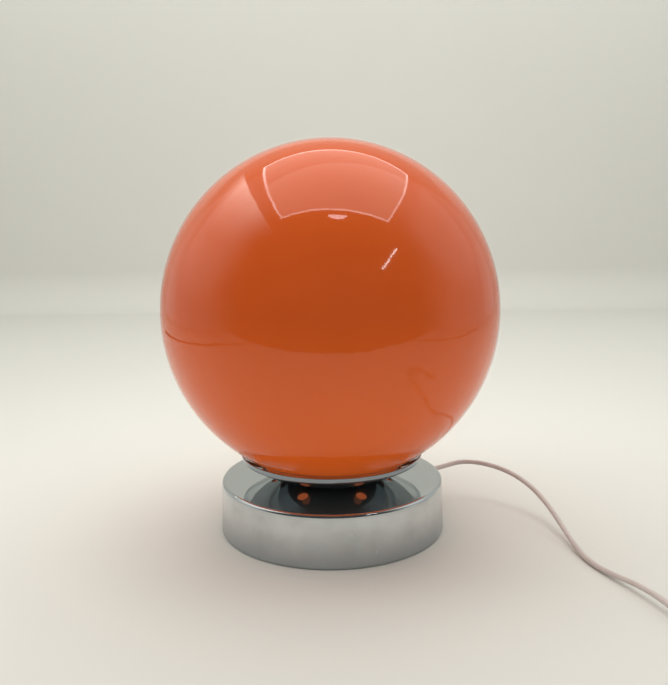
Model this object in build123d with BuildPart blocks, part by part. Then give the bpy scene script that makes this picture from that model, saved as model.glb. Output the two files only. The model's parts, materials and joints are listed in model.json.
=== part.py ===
from build123d import *
from math import acos, atan2, cos, degrees, hypot, pi, radians, sin, sqrt, tan
import os

# Table lamp: an orange glass ball standing in a pressed dish on a deep-drawn chromed drum.
# Millimetres, +Z up, origin on the table under the middle of the drum, the front at -Y.

os.makedirs("parts", exist_ok=True)

# ---- driving dimensions ----

# glass ball
globe_width = 300.0  # outside, at the equator
globe_tall = 302.0  # outside, as if the bottom were closed
globe_wall = 3.0
ball_arc_steps = 12  # points on the curve that is turned into the ball
neck_radius = 61.5  # outside of the short neck under the ball
neck_wall = 3.4
neck_length = 4.6  # from where the neck leaves the ball down to its ground edge
neck_blend = 2.4  # blown transition between neck and ball
seat_ring_thickness = 1.6  # soft ring under the neck
seat_ring_overhang = 1.2  # how far the ring stands out on each side of the neck

# pressed dish
dish_floor_radius = 40.7
dish_rim_foot_radius = 82.4
dish_rim_radius = 82.9
dish_rise = 19.9  # from the flat underside to the foot of the rim
dish_rim_height = 4.3
dish_sheet = 1.2
dish_bow = 1.1  # how far the wall bellies out below a straight cone
dish_bend = 1.2  # inside radius of the press tool at both bends
vent_count = 6
vent_radius = 4.9
vent_rise = 4.3  # height of a vent's middle over the underside

# drum
drum_height = 46.0
drum_foot_radius = 102.6
drum_top_radius = 101.3
drum_sheet = 1.5
drum_edge_radius = 3.0
floor_gap = 1.2  # dark line between the drum and the table

# bottom plate, feet and weight
foot_height = 4.0
foot_radius = 8.0
foot_inset = 14.5  # from the plate's edge to a foot
foot_count = 4
plate_thickness = 2.0
plate_clearance = 0.4
bracket_count = 3
bracket_sheet = 1.5
bracket_height = 16.0
bracket_leg = 13.0
bracket_arc = 9.0  # degrees of the wall that one bracket covers
weld_gap = 0.1
ballast_radius = 72.0
ballast_thickness = 9.0
edge_break = 1.0
plate_screw_radius = 1.65
plate_screw_length = 9.0
plate_screw_head_radius = 3.2
plate_screw_head_height = 2.0
ballast_bolt_radius = 3.0
ballast_bolt_head_radius = 6.0
ballast_bolt_head_height = 3.0
ballast_nut_flats = 10.0
ballast_nut_thickness = 5.0
bolt_clearance = 0.4
thread_clearance = 0.05
slot_width = 0.9

# threaded tube and what it clamps
tube_radius = 5.0
tube_bore_radius = 3.6
tube_clearance = 0.25
tube_spare = 2.0  # tube below the lower nut
tube_grip = 8.0  # tube inside the lampholder
tube_nut_flats = 14.0
tube_nut_thickness = 4.0
lower_washer_radius = 12.0
lower_washer_thickness = 1.5
upper_washer_radius = 15.0
upper_washer_thickness = 1.2

# screw lampholder
holder_radius = 19.5
holder_boss_radius = 10.0
holder_boss_height = 5.0
holder_cone_height = 8.0
holder_cap_height = 21.0
holder_wall = 2.0
holder_shell_height = 35.0
holder_shell_bead = 0.8
holder_socket_radius = 14.2
core_thickness = 13.0
core_clearance = 0.3
core_wire_hole_radius = 1.6
core_wire_hole_offset = 5.0
centre_contact_radius = 4.0
centre_contact_height = 1.2
side_contact_thickness = 0.5
side_contact_height = 12.0
side_contact_arc = 34.0  # degrees

# bulb
bulb_seat_gap = 0.2
bulb_tip_radius = 4.6
bulb_tip_height = 1.6
bulb_collar_radius = 11.0
bulb_contact_height = 5.0
bulb_thread_radius = 13.1
bulb_thread_depth = 0.9
bulb_thread_pitch = 3.6
bulb_thread_turns = 5
bulb_cap_wall = 0.6
bulb_neck_radius = 12.2
bulb_neck_height = 5.0
bulb_glass_radius = 30.0
bulb_length = 104.0
bulb_glass_wall = 0.8

# cord and its bushing in the drum wall
cord_diameter = 4.6
cord_height = 31.5  # where it leaves the drum
cord_azimuth = 30.0  # degrees from +X towards the back
bushing_hole_radius = 5.0
bushing_clearance = 0.15
bushing_collar_radius = 6.6
bushing_collar_thickness = 1.8
bushing_clip_thickness = 3.0
bushing_seat_clearance = 0.3
bushing_sleeve_length = 13.5
bushing_sleeve_radius = 4.6
bushing_tip_radius = 3.3
bushing_grooves = 3
bushing_groove_width = 1.2
bushing_groove_depth = 0.7
bushing_bore_clearance = 0.1
sheath_end_distance = 25.0  # from the lamp's axis to where the sheath is stripped
core_wire_radius = 1.1
core_wire_offset = 1.4
core_wire_bend = 5.0

# the free cord from the bushing to the switch; heights are of the cord's middle
lamp_lead_length = 15.0  # straight from the bushing
lamp_route_points = [
    (135.0, 70.6, 34.4),
    (156.5, 58.5, 36.2),
    (176.0, 36.5, 34.0),
    (192.0, 15.5, 26.0),
    (201.0, -13.0, 17.0),
    (205.5, -43.0, 9.4),
    (209.0, -72.0, 3.8),
    (213.5, -98.0, 2.4),
    (223.0, -120.5, 3.3),
    (234.0, -145.0, 6.8),
    (242.5, -170.5, 8.4),
    (247.5, -190.0, 7.4),
    (255.0, -206.0, 7.4),
]

# switch on the cord
switch_length = 56.0
switch_half_width = 12.5
switch_end_radius = 6.5
switch_bottom_height = 7.4
switch_top_height = 7.6
switch_edge_radius = 2.0
switch_floor_gap = 0.1
shell_joint_gap = 0.05
rocker_length = 15.0
rocker_width = 10.4
rocker_gap = 0.4
rocker_tip_height = 3.4  # top of a rocker end over its pivot, when level
rocker_dip = 1.0  # how much lower the rocker is in its middle
rocker_root_depth = 2.6
rocker_root_half = 2.5  # half the length of the rocker's foot
rocker_pivot_depth = 1.8  # pivot under the top of the shell
rocker_tilt = 8.0  # degrees either side of level
rocker_axle_radius = 1.0
rocker_axle_length = 1.6  # on each side
rocker_axle_clearance = 0.06
switch_screw_radius = 1.4
switch_screw_head_radius = 2.6
switch_screw_head_height = 1.6
switch_screw_length = 9.0
switch_screw_spacing = 30.0
switch_screw_recess = 0.6

# coil of spare cord, on the table beyond the switch
tail_straight = 8.0
tail_slope_length = 16.0
coil_inner_radius = 18.4
coil_pitch = 5.1  # from turn to turn and from layer to layer
coil_half_turns_in = 7
coil_half_turns_out = 7
coil_climb_step = 2.0  # how far it draws in while it climbs a layer
coil_floor_gap = 0.1

# plug at the cord's end
end_run = 15.0
end_turn = -7.0  # degrees at each of the two bends
plug_length = 33.0
plug_width = 26.0
plug_neck_width = 10.0
plug_thickness = 13.7
plug_neck_thickness = 9.0
plug_face_depth = 8.0
plug_edge_radius = 2.5
plug_floor_gap = 0.1
pin_radius = 2.0
pin_length = 19.0
pin_spacing = 18.6
pin_embed = 5.0
pin_root_radius = 1.6  # of the thinner part moulded into the plug
pin_clearance = 0.02

# ---- heights and radii that follow ----

base_top = floor_gap + drum_height
drum_under = base_top - drum_sheet
dish_top = base_top + dish_sheet
plate_under = foot_height
plate_top = plate_under + plate_thickness
ballast_top = plate_top + ballast_thickness
cord_radius = cord_diameter / 2

lower_nut_top = drum_under - lower_washer_thickness
lower_nut_under = lower_nut_top - tube_nut_thickness
tube_under = lower_nut_under - tube_spare
upper_nut_under = dish_top + upper_washer_thickness
holder_under = upper_nut_under + tube_nut_thickness
tube_top = holder_under + tube_grip
holder_cap_top = holder_under + holder_cap_height
holder_shell_top = holder_cap_top + holder_shell_height
core_under = holder_under + holder_boss_height + holder_cone_height
core_top = core_under + core_thickness
bulb_under = core_top + centre_contact_height + bulb_seat_gap
bulb_cap_under = bulb_under + bulb_contact_height
bulb_cap_top = bulb_cap_under + bulb_thread_pitch * (bulb_thread_turns + 1)
bulb_top = bulb_under + bulb_length


def drum_wall(height):
    """Outside radius of the drum at a height over the table."""
    return drum_top_radius + (drum_foot_radius - drum_top_radius) * (base_top - height) / drum_height


drum_draft = atan2(drum_foot_radius - drum_top_radius, drum_height)


def drum_inside(height):
    """Inside radius of the drum at a height over the table."""
    return drum_wall(height) - drum_sheet / cos(drum_draft)


# The dish wall is an arc through its two bends that bellies out by dish_bow.
wall_run = dish_rim_foot_radius - dish_floor_radius
wall_chord = hypot(wall_run, dish_rise)
wall_arc_radius = wall_chord**2 / (8 * dish_bow) + dish_bow / 2
wall_slope = atan2(dish_rise, wall_run)
wall_middle_radius = (dish_floor_radius + dish_rim_foot_radius) / 2 + dish_bow * sin(wall_slope)
wall_middle_height = base_top + dish_rise / 2 - dish_bow * cos(wall_slope)
wall_centre_radius = wall_middle_radius - wall_arc_radius * sin(wall_slope)
wall_centre_height = wall_middle_height + wall_arc_radius * cos(wall_slope)


def dish_wall(radius, sheet=0.0):
    """Height of the dish wall at a radius: its underside, or its inside with the sheet given."""
    return wall_centre_height - sqrt((wall_arc_radius - sheet) ** 2 - (radius - wall_centre_radius) ** 2)


def ball_under(radius, inset=0.0):
    """Depth of the ball's lower surface under its middle, at a radius."""
    wide = globe_width / 2 - inset
    tall = globe_tall / 2 - inset
    return tall * sqrt(1 - (radius / wide) ** 2)


neck_inner_radius = neck_radius - neck_wall
seat_ring_top = dish_wall(neck_radius, dish_sheet) + seat_ring_thickness
neck_top = seat_ring_top + neck_length
globe_middle = neck_top + ball_under(neck_radius)


def upright(azimuth):
    """Plane through the lamp's axis, with x outwards at an azimuth and y up."""
    turn = radians(azimuth)
    return Plane(origin=(0, 0, 0), x_dir=(cos(turn), sin(turn), 0), z_dir=(sin(turn), -cos(turn), 0))


def ball_arc(radius, inset=0.0):
    """Arc of the ball, or of its inside with an inset, from the neck's radius up to its top."""
    wide = globe_width / 2 - inset
    tall = globe_tall / 2 - inset
    below = acos(radius / wide)
    turns = [(pi / 2 + below) * index / ball_arc_steps - below for index in range(ball_arc_steps + 1)]
    points = [(wide * cos(turn), globe_middle + tall * sin(turn)) for turn in turns]
    ends = [(-wide * sin(turn), tall * cos(turn)) for turn in (turns[0], turns[-1])]
    return Spline(*points, tangents=ends, tangent_scalars=(1, 1))


def ring_places(count, radius, first=0.0, height=0.0):
    """Places spaced evenly on a circle round the lamp's axis."""
    places = []
    for index in range(count):
        turn = radians(first + index * 360 / count)
        places.append((radius * cos(turn), radius * sin(turn), height))
    return places


def round_corner(corner, radius):
    """Fillet the vertex of the sketch being made that lies nearest to a corner."""
    fillet(vertices().sort_by_distance(corner)[0], radius)


# ---- glass ball and its ring ----

with BuildPart() as glass_globe:
    with BuildSketch(Plane.XZ):
        with BuildLine():
            outer = ball_arc(neck_radius)
            inner = ball_arc(neck_inner_radius, globe_wall)
            Line(outer @ 1, inner @ 1)
            Polyline(outer @ 0, (neck_radius, seat_ring_top), (neck_inner_radius, seat_ring_top), inner @ 0)
        make_face()
        round_corner((neck_radius, neck_top), neck_blend)
        round_corner((neck_inner_radius, globe_middle - ball_under(neck_inner_radius, globe_wall)), neck_blend / 2)
        for edge_radius in (neck_radius, neck_inner_radius):
            round_corner((edge_radius, seat_ring_top), neck_wall / 6)
    revolve(axis=Axis.Z)

with BuildPart() as globe_seat_ring:
    with BuildSketch(Plane.XZ):
        ring_inner = neck_inner_radius - seat_ring_overhang
        ring_outer = neck_radius + seat_ring_overhang
        ring_middle = (ring_inner + ring_outer) / 2
        with BuildLine():
            seat_face = ThreePointArc(
                (ring_inner, dish_wall(ring_inner, dish_sheet)),
                (ring_middle, dish_wall(ring_middle, dish_sheet)),
                (ring_outer, dish_wall(ring_outer, dish_sheet)),
            )
            ring_edge = Line(seat_face @ 1, (ring_outer, seat_ring_top))
            ring_top = Line(ring_edge @ 1, (ring_inner, seat_ring_top))
            Line(ring_top @ 1, seat_face @ 0)
        make_face()
    revolve(axis=Axis.Z)

# ---- pressed dish ----

with BuildPart() as gallery_dish:
    with BuildSketch(Plane.XZ):
        with BuildLine():
            dish_floor = Line((tube_radius + tube_clearance, base_top), (dish_floor_radius, base_top))
            dish_side = ThreePointArc(
                dish_floor @ 1,
                (wall_middle_radius, wall_middle_height),
                (dish_rim_foot_radius, base_top + dish_rise),
            )
            Line(dish_side @ 1, (dish_rim_radius, base_top + dish_rise + dish_rim_height))
            offset(amount=dish_sheet, side=Side.LEFT)
        make_face()
        for corner in ((dish_floor_radius, base_top), (dish_rim_foot_radius, base_top + dish_rise)):
            round_corner(corner, dish_bend + dish_sheet)
        round_corner((dish_floor_radius - dish_sheet * tan(wall_slope / 2), dish_top), dish_bend)
        round_corner(
            (dish_rim_foot_radius - dish_sheet, dish_wall(dish_rim_foot_radius - dish_sheet, dish_sheet)),
            dish_bend,
        )
    revolve(axis=Axis.Z)
    fillet(edges().group_by(Axis.Z)[-1], dish_sheet / 3)
    vent_circle_radius = wall_centre_radius + sqrt(
        wall_arc_radius**2 - (wall_centre_height - base_top - vent_rise) ** 2
    )
    vent_slope = atan2(vent_circle_radius - wall_centre_radius, wall_centre_height - base_top - vent_rise)
    for index in range(vent_count):
        azimuth = radians(index * 360 / vent_count)
        outward = (sin(vent_slope) * cos(azimuth), sin(vent_slope) * sin(azimuth), -cos(vent_slope))
        middle = (vent_circle_radius * cos(azimuth), vent_circle_radius * sin(azimuth), base_top + vent_rise)
        with BuildSketch(Plane(origin=middle, z_dir=outward)):
            Circle(vent_radius)
        extrude(amount=-3 * dish_sheet, both=True, mode=Mode.SUBTRACT)

# ---- drum, bottom plate and what hangs on them ----

exit_radius = drum_wall(cord_height)
exit_turn = radians(cord_azimuth)
exit_way = Vector(cos(exit_turn), sin(exit_turn), 0)
exit_point = exit_way * exit_radius + Vector(0, 0, cord_height)

with BuildPart() as base_drum:
    with BuildSketch(Plane.XZ):
        with BuildLine():
            drum_top = Line((tube_radius + tube_clearance, base_top), (drum_top_radius, base_top))
            Line(drum_top @ 1, (drum_foot_radius, floor_gap))
            offset(amount=drum_sheet, side=Side.RIGHT)
        make_face()
        round_corner((drum_top_radius, base_top), drum_edge_radius)
        round_corner((drum_inside(drum_under), drum_under), drum_edge_radius - drum_sheet)
    revolve(axis=Axis.Z)
    with BuildSketch(Plane(origin=exit_point, z_dir=exit_way)):
        Circle(bushing_hole_radius)
    extrude(amount=-4 * drum_sheet, both=True, mode=Mode.SUBTRACT)

bracket_under = plate_top + weld_gap
bracket_screw_radius = drum_inside(bracket_under) - bracket_leg * 0.6
bracket_first = 90.0

with BuildPart() as plate_brackets:
    for index in range(bracket_count):
        azimuth = bracket_first + index * 360 / bracket_count - bracket_arc / 2
        bracket_top = bracket_under + bracket_height
        foot_edge = drum_inside(bracket_under) - weld_gap
        top_edge = drum_inside(bracket_top) - weld_gap
        with BuildSketch(upright(azimuth)):
            with BuildLine():
                Polyline(
                    (foot_edge - bracket_leg, bracket_under),
                    (foot_edge, bracket_under),
                    (top_edge, bracket_top),
                    (top_edge - bracket_sheet, bracket_top),
                    (foot_edge - bracket_sheet, bracket_under + bracket_sheet),
                    (foot_edge - bracket_leg, bracket_under + bracket_sheet),
                    close=True,
                )
            make_face()
        revolve(axis=Axis.Z, revolution_arc=-bracket_arc)
    with Locations(*ring_places(bracket_count, bracket_screw_radius, bracket_first, bracket_under)):
        Cylinder(plate_screw_radius + thread_clearance, 4 * bracket_sheet, mode=Mode.SUBTRACT)

plate_radius = drum_inside(plate_top) - plate_clearance

with BuildPart() as bottom_plate:
    with BuildSketch(Plane.XY.offset(plate_under)):
        Circle(plate_radius)
        Circle(ballast_bolt_radius + bolt_clearance, mode=Mode.SUBTRACT)
        with Locations(*ring_places(bracket_count, bracket_screw_radius, bracket_first)):
            Circle(plate_screw_radius + bolt_clearance, mode=Mode.SUBTRACT)
    extrude(amount=plate_thickness)

with BuildPart() as plate_screws:
    with Locations(*ring_places(bracket_count, bracket_screw_radius, bracket_first, plate_under)):
        Cylinder(plate_screw_head_radius, plate_screw_head_height, align=(Align.CENTER, Align.CENTER, Align.MAX))
        Cylinder(plate_screw_radius, plate_screw_length, align=(Align.CENTER, Align.CENTER, Align.MIN))
    with Locations(
        *ring_places(bracket_count, bracket_screw_radius, bracket_first, plate_under - plate_screw_head_height)
    ):
        Box(2 * plate_screw_head_radius, slot_width, slot_width * 2, mode=Mode.SUBTRACT)

foot_circle_radius = plate_radius - foot_inset - foot_radius

with BuildPart() as rubber_feet:
    for place in ring_places(foot_count, foot_circle_radius, 360 / foot_count / 2):
        with BuildSketch(Plane.XY.offset(0)):
            with Locations(place[:2]):
                Circle(foot_radius)
        extrude(amount=foot_height)
    chamfer(edges().group_by(Axis.Z)[0], edge_break)

with BuildPart() as ballast_weight:
    with BuildSketch(Plane.XY.offset(plate_top)):
        Circle(ballast_radius)
        Circle(ballast_bolt_radius + bolt_clearance, mode=Mode.SUBTRACT)
    extrude(amount=ballast_thickness)
    fillet(edges().filter_by(GeomType.CIRCLE).sort_by(SortBy.RADIUS)[-2:], edge_break)

with BuildPart() as ballast_bolt:
    bolt_length = plate_thickness + ballast_thickness + ballast_nut_thickness + edge_break
    with Locations((0, 0, plate_under)):
        Cylinder(ballast_bolt_head_radius, ballast_bolt_head_height, align=(Align.CENTER, Align.CENTER, Align.MAX))
        Cylinder(ballast_bolt_radius, bolt_length, align=(Align.CENTER, Align.CENTER, Align.MIN))
    with Locations((0, 0, plate_under - ballast_bolt_head_height)):
        Box(2 * ballast_bolt_head_radius, slot_width * 1.5, slot_width * 2, mode=Mode.SUBTRACT)

with BuildPart() as ballast_nut:
    with BuildSketch(Plane.XY.offset(ballast_top)):
        RegularPolygon(ballast_nut_flats / 2, 6, major_radius=False)
        Circle(ballast_bolt_radius + thread_clearance, mode=Mode.SUBTRACT)
    extrude(amount=ballast_nut_thickness)

# ---- threaded tube with its nuts and washers ----

with BuildPart() as threaded_tube:
    with BuildSketch(Plane.XY.offset(tube_under)):
        Circle(tube_radius)
        Circle(tube_bore_radius, mode=Mode.SUBTRACT)
    extrude(amount=tube_top - tube_under)

with BuildPart() as lower_washer:
    with BuildSketch(Plane.XY.offset(lower_nut_top)):
        Circle(lower_washer_radius)
        Circle(tube_radius + tube_clearance, mode=Mode.SUBTRACT)
    extrude(amount=lower_washer_thickness)

with BuildPart() as lower_nut:
    with BuildSketch(Plane.XY.offset(lower_nut_under)):
        RegularPolygon(tube_nut_flats / 2, 6, major_radius=False)
        Circle(tube_radius + thread_clearance, mode=Mode.SUBTRACT)
    extrude(amount=tube_nut_thickness)

with BuildPart() as upper_washer:
    with BuildSketch(Plane.XY.offset(dish_top)):
        Circle(upper_washer_radius)
        Circle(tube_radius + tube_clearance, mode=Mode.SUBTRACT)
    extrude(amount=upper_washer_thickness)

with BuildPart() as upper_nut:
    with BuildSketch(Plane.XY.offset(upper_nut_under)):
        RegularPolygon(tube_nut_flats / 2, 6, major_radius=False)
        Circle(tube_radius + thread_clearance, mode=Mode.SUBTRACT)
    extrude(amount=tube_nut_thickness)

# ---- lampholder ----

core_radius = holder_radius - holder_wall - core_clearance

with BuildPart() as holder_cap:
    with BuildSketch(Plane.XZ):
        with BuildLine():
            Polyline(
                (tube_radius + thread_clearance, holder_under),
                (holder_boss_radius, holder_under),
                (holder_boss_radius, holder_under + holder_boss_height),
                (holder_radius, core_under),
                (holder_radius, holder_cap_top),
                (holder_radius - holder_wall, holder_cap_top),
                (holder_radius - holder_wall, core_under),
                (core_radius - holder_wall, core_under),
                (tube_radius + thread_clearance, holder_under + tube_grip),
                close=True,
            )
        make_face()
        round_corner((holder_boss_radius, holder_under + holder_boss_height), edge_break)
        round_corner((holder_radius, core_under), 2 * edge_break)
    revolve(axis=Axis.Z)

with BuildPart() as holder_core:
    with BuildSketch(Plane.XY.offset(core_under)):
        Circle(core_radius)
        for side in (-1, 1):
            with Locations((0, side * core_wire_hole_offset)):
                Circle(core_wire_hole_radius, mode=Mode.SUBTRACT)
    extrude(amount=core_thickness)
    chamfer(edges().group_by(Axis.Z)[-1].sort_by(SortBy.RADIUS)[-1], edge_break)

with BuildPart() as holder_shell:
    with BuildSketch(Plane.XZ):
        shell_outer = holder_radius
        core_room = holder_radius - holder_wall
        with BuildLine():
            Polyline(
                (core_room, holder_cap_top),
                (shell_outer, holder_cap_top),
                (shell_outer, holder_shell_top),
                (holder_socket_radius, holder_shell_top),
                (holder_socket_radius, core_top + core_clearance),
                (core_room, core_top + core_clearance),
                close=True,
            )
        make_face()
        for bead in range(3):
            with Locations((shell_outer, holder_shell_top - (bead + 1) * 4 * holder_shell_bead)):
                Circle(holder_shell_bead, mode=Mode.SUBTRACT)
        round_corner((shell_outer, holder_shell_top), edge_break)
    revolve(axis=Axis.Z)

with BuildPart() as holder_contacts:
    with BuildSketch(Plane.XY.offset(core_top)):
        Circle(centre_contact_radius)
    extrude(amount=centre_contact_height)
    with BuildSketch(upright(-side_contact_arc / 2)):
        with Locations((holder_socket_radius - thread_clearance, core_top)):
            Rectangle(side_contact_thickness, side_contact_height, align=(Align.MAX, Align.MIN))
    revolve(axis=Axis.Z, revolution_arc=-side_contact_arc)

# ---- bulb ----

with BuildPart() as bulb_contact:
    with BuildSketch(Plane.XZ):
        with BuildLine():
            Polyline(
                (0, bulb_under),
                (bulb_tip_radius, bulb_under),
                (bulb_tip_radius, bulb_under + bulb_tip_height),
                (bulb_collar_radius, bulb_cap_under),
                (0, bulb_cap_under),
                close=True,
            )
        make_face()
        round_corner((bulb_tip_radius, bulb_under), edge_break)
    revolve(axis=Axis.Z)

with BuildPart() as bulb_cap:
    with BuildSketch(Plane.XZ):
        with Locations((bulb_thread_radius, bulb_cap_under)):
            Rectangle(
                bulb_cap_wall + bulb_thread_depth,
                bulb_cap_top - bulb_cap_under,
                align=(Align.MAX, Align.MIN),
            )
        for turn in range(bulb_thread_turns):
            with Locations((bulb_thread_radius, bulb_cap_under + (turn + 1) * bulb_thread_pitch)):
                Circle(bulb_thread_depth, mode=Mode.SUBTRACT)
    revolve(axis=Axis.Z)

with BuildPart() as bulb_envelope:
    ball_height = bulb_top - bulb_glass_radius
    shoulder_height = bulb_cap_top + bulb_neck_height
    with BuildSketch(Plane.XZ):
        with BuildLine():
            neck_side = Line((bulb_neck_radius, bulb_cap_top), (bulb_neck_radius, shoulder_height))
            # the flare is a spline that leaves the neck upright and meets the ball at 35 degrees under its middle
            meet = radians(35)
            meet_point = (bulb_glass_radius * cos(meet), ball_height - bulb_glass_radius * sin(meet))
            flare = Spline(neck_side @ 1, meet_point, tangents=((0, 1), (sin(meet), cos(meet))))
            crown = TangentArc(flare @ 1, (0, bulb_top), tangent=flare % 1)
            Line(crown @ 1, (0, bulb_cap_top))
            Line((0, bulb_cap_top), neck_side @ 0)
        make_face()
    revolve(axis=Axis.Z)
    offset(amount=-bulb_glass_wall, openings=faces().sort_by(Axis.Z)[0])

# ---- wiring inside the base and the bushing ----

bushing_axis = Axis(exit_point, exit_way)
bushing_plane = Plane(origin=exit_point, x_dir=exit_way, z_dir=(exit_way.Y, -exit_way.X, 0))
collar_lean = bushing_collar_radius * abs(tan(drum_draft))
collar_sag = exit_radius - sqrt(exit_radius**2 - bushing_collar_radius**2)
collar_inner = bushing_seat_clearance + collar_lean
collar_outer = collar_inner + bushing_collar_thickness
sleeve_end = collar_outer + bushing_sleeve_length
clip_outer = -(bushing_seat_clearance + collar_lean + collar_sag + drum_sheet / cos(drum_draft))

with BuildPart() as cord_bushing:
    with BuildSketch(bushing_plane):
        through_radius = bushing_hole_radius - bushing_clearance
        with BuildLine():
            Polyline(
                (clip_outer - bushing_clip_thickness, cord_radius + bushing_bore_clearance),
                (clip_outer - bushing_clip_thickness, through_radius),
                (clip_outer, bushing_collar_radius),
                (clip_outer, through_radius),
                (collar_inner, through_radius),
                (collar_inner, bushing_collar_radius),
                (collar_outer, bushing_collar_radius),
                (collar_outer, bushing_sleeve_radius),
                (sleeve_end, bushing_tip_radius),
                (sleeve_end, cord_radius + bushing_bore_clearance),
                close=True,
            )
        make_face()
        for groove in range(bushing_grooves):
            step = bushing_sleeve_length / (bushing_grooves + 1)
            along = collar_outer + (groove + 1) * step
            narrowing = (bushing_sleeve_radius - bushing_tip_radius) * (groove + 1) / (bushing_grooves + 1)
            with Locations((along, bushing_sleeve_radius - narrowing)):
                Rectangle(bushing_groove_width, 2 * bushing_groove_depth, mode=Mode.SUBTRACT)
        round_corner((collar_outer, bushing_collar_radius), edge_break / 2)
    revolve(axis=bushing_axis)

cord_start = exit_point + exit_way * sleeve_end

with BuildPart() as inner_cord:
    with BuildSketch(Plane(origin=cord_start, z_dir=exit_way)):
        Circle(cord_radius)
    extrude(amount=-(exit_radius + sleeve_end - sheath_end_distance))

sideways = Vector(-exit_way.Y, exit_way.X, 0)
wire_floor = Vector(0, 0, cord_height)

with BuildPart() as core_wires:
    for side in (-1, 1):
        aside = sideways * (side * core_wire_offset)
        wire_start = wire_floor + exit_way * sheath_end_distance + aside
        with BuildLine() as wire_run:
            FilletPolyline(
                wire_start,
                wire_floor + aside,
                Vector(0, 0, core_under) + aside,
                radius=core_wire_bend,
            )
        with BuildSketch(Plane(origin=wire_start, z_dir=exit_way * -1)):
            Circle(core_wire_radius)
        sweep(path=wire_run.wire())


# ---- free cord ----


def bend_radii(points):
    """Radius of each bend of a cord's route: 0.45 of the shorter run over the tangent of half the turn."""
    vectors = [Vector(point) for point in points]
    runs = [after - before for before, after in zip(vectors[:-1], vectors[1:])]
    radii = []
    for before, after in zip(runs[:-1], runs[1:]):
        turn = radians(before.get_angle(after))
        radii.append(0.45 * min(before.length, after.length) / tan(turn / 2))
    return radii


def report_cord(name, solid, path):
    """Print a tube's length, its tightest bend and how its volume compares with section times length."""
    section = pi * cord_radius**2
    print(f"{name}: length {path.length:.1f}, volume ratio {solid.volume / (section * path.length):.5f}")


lamp_lead = cord_start + exit_way * lamp_lead_length
lamp_route = [cord_start, lamp_lead] + [Vector(point) for point in lamp_route_points]
print("cord_lamp bend radii", [round(radius, 1) for radius in bend_radii(lamp_route)])

with BuildPart() as cord_lamp:
    with BuildLine() as lamp_line:
        FilletPolyline(*lamp_route, radius=bend_radii(lamp_route))
    with BuildSketch(Plane(origin=lamp_line.wire() @ 0, z_dir=lamp_line.wire() % 0)):
        Circle(cord_radius)
    sweep(path=lamp_line.wire())
report_cord("cord_lamp", cord_lamp.part, lamp_line.wire())

# ---- switch on the cord ----

switch_start = lamp_route[-1]
last_run = lamp_route[-1] - lamp_route[-2]
switch_way = Vector(last_run.X, last_run.Y, 0).normalized()
switch_left = Vector(-switch_way.Y, switch_way.X, 0)
switch_middle = switch_start + switch_way * (switch_length / 2)


def switch_plane(height):
    """Level plane at a height, with x along the cord and its origin over the switch's middle."""
    return Plane(origin=(switch_middle.X, switch_middle.Y, height), x_dir=switch_way, z_dir=(0, 0, 1))


switch_joint = switch_bottom_height
switch_top = switch_joint + shell_joint_gap + switch_top_height
end_offset = switch_length / 2 - switch_end_radius


def switch_outline():
    """Plan of the switch: a waist with two rounded ends."""
    Circle(switch_half_width)
    with Locations((-end_offset, 0), (end_offset, 0)):
        Circle(switch_end_radius)
    make_hull()


pivot_height = switch_top - rocker_pivot_depth
screw_places = [(-switch_screw_spacing / 2, 0), (switch_screw_spacing / 2, 0)]

with BuildPart() as switch_bottom:
    with BuildSketch(switch_plane(switch_floor_gap)):
        switch_outline()
    extrude(amount=switch_joint - switch_floor_gap)
    fillet(edges().group_by(Axis.Z)[0], switch_edge_radius)
    with BuildSketch(switch_plane(switch_floor_gap)):
        with Locations(*screw_places):
            Circle(switch_screw_head_radius + bolt_clearance)
    extrude(amount=switch_screw_recess + switch_screw_head_height, mode=Mode.SUBTRACT)
    with BuildSketch(switch_plane(switch_floor_gap)):
        with Locations(*screw_places):
            Circle(switch_screw_radius + thread_clearance)
    extrude(amount=switch_joint, mode=Mode.SUBTRACT)

with BuildPart() as switch_top_shell:
    with BuildSketch(switch_plane(switch_joint + shell_joint_gap)):
        switch_outline()
    extrude(amount=switch_top_height)
    fillet(edges().group_by(Axis.Z)[-1], switch_edge_radius)
    pocket_depth = rocker_pivot_depth + rocker_root_depth + rocker_root_half * sin(radians(rocker_tilt)) + rocker_gap
    with BuildSketch(switch_plane(switch_top)):
        Rectangle(rocker_length + 2 * rocker_gap, rocker_width + 2 * rocker_gap)
    extrude(amount=-pocket_depth, mode=Mode.SUBTRACT)
    with Locations(Location(switch_plane(pivot_height))):
        Cylinder(
            rocker_axle_radius + rocker_axle_clearance,
            rocker_width + 2 * (rocker_gap + rocker_axle_length),
            rotation=(90, 0, 0),
            mode=Mode.SUBTRACT,
        )
    with BuildSketch(switch_plane(switch_joint)):
        with Locations(*screw_places):
            Circle(switch_screw_radius + thread_clearance)
    extrude(amount=switch_screw_length / 2, mode=Mode.SUBTRACT)

with BuildPart() as switch_rocker:
    rocker_half = rocker_length / 2 - rocker_gap
    rocker_side = Plane(
        origin=(switch_middle.X, switch_middle.Y, pivot_height),
        x_dir=switch_way * cos(radians(rocker_tilt)) - Vector(0, 0, sin(radians(rocker_tilt))),
        z_dir=switch_left * -1,
    )
    with BuildSketch(rocker_side):
        with BuildLine():
            Polyline(
                (-rocker_half, rocker_tip_height - rocker_dip / 2),
                (0, rocker_tip_height - rocker_dip),
                (rocker_half, rocker_tip_height - rocker_dip / 2),
                (rocker_half - rocker_dip, 0),
                (rocker_root_half, -rocker_root_depth),
                (-rocker_root_half, -rocker_root_depth),
                (-rocker_half + rocker_dip, 0),
                close=True,
            )
        make_face()
    extrude(amount=rocker_width / 2, both=True)
    with BuildSketch(rocker_side):
        Circle(rocker_axle_radius)
    extrude(amount=rocker_width / 2 + rocker_gap + rocker_axle_length - rocker_axle_clearance, both=True)

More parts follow.
